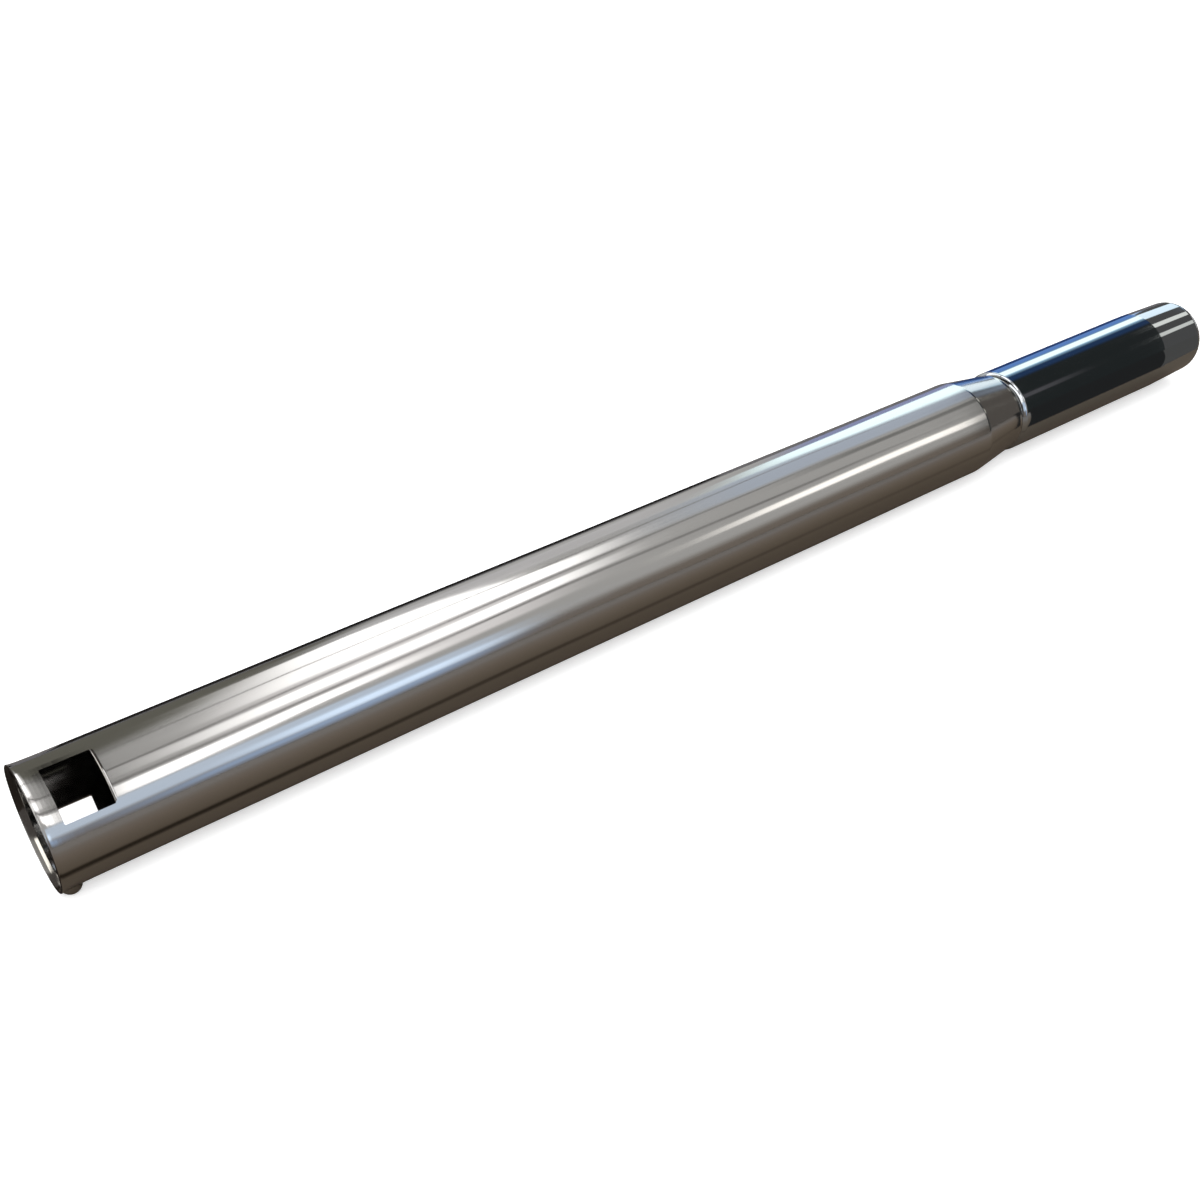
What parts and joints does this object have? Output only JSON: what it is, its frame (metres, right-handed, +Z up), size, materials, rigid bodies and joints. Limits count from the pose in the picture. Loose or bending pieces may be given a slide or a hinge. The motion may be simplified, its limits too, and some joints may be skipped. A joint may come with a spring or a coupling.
{
  "type": "telescopic vacuum wand",
  "caption": "Round steel suction wand that telescopes: belled mouth with latch windows and a key lug, necked-in far end, and a slimmer sliding tube with a chromed tool cuff.",
  "frame": {"origin": "the middle of the pushed-together wand's length, on the surface that the wand lies on", "axes": "+X along the wand from the handle's mouth to the tool cuff, +Z up, with the wand's own axis 17.95 mm above the origin"},
  "size_m": [0.4769, 0.0358, 0.0359],
  "materials": {
    "outer_steel": "satin-polished stainless steel",
    "inner_steel": "drawn and polished",
    "cuff_chrome": "bright chrome plate",
    "spring_steel": "oiled spring wire",
    "bearing_plastic": "moulded natural acetal",
    "brake_plastic": "moulded filled nylon",
    "seal_rubber": "moulded soft rubber"
  },
  "bodies": {
    "outer_body": {"outer_tube": "outer_steel", "neck_bush": "bearing_plastic", "neck_seal": "seal_rubber", "bush_snap_ring": "spring_steel"},
    "guide_carriage": {"rear_guide": "bearing_plastic", "brake_spring": "spring_steel", "brake_shoe_1": "brake_plastic", "brake_shoe_2": "brake_plastic", "brake_shoe_3": "brake_plastic"},
    "extension": {"inner_tube": "inner_steel", "tool_cuff": "cuff_chrome", "guide_snap_ring": "spring_steel", "stop_bumper": "seal_rubber"}
  },
  "joints": [
    {"name": "tube_slide", "type": "slide", "parent": "outer_body", "child": "guide_carriage", "axis": [1, 0, 0], "range_m": [0, 0.2]},
    {"name": "tube_turn", "type": "hinge", "parent": "guide_carriage", "child": "extension", "pos_m": [0, 0, 0.01795], "axis": [1, 0, 0], "continuous": true}
  ]
}
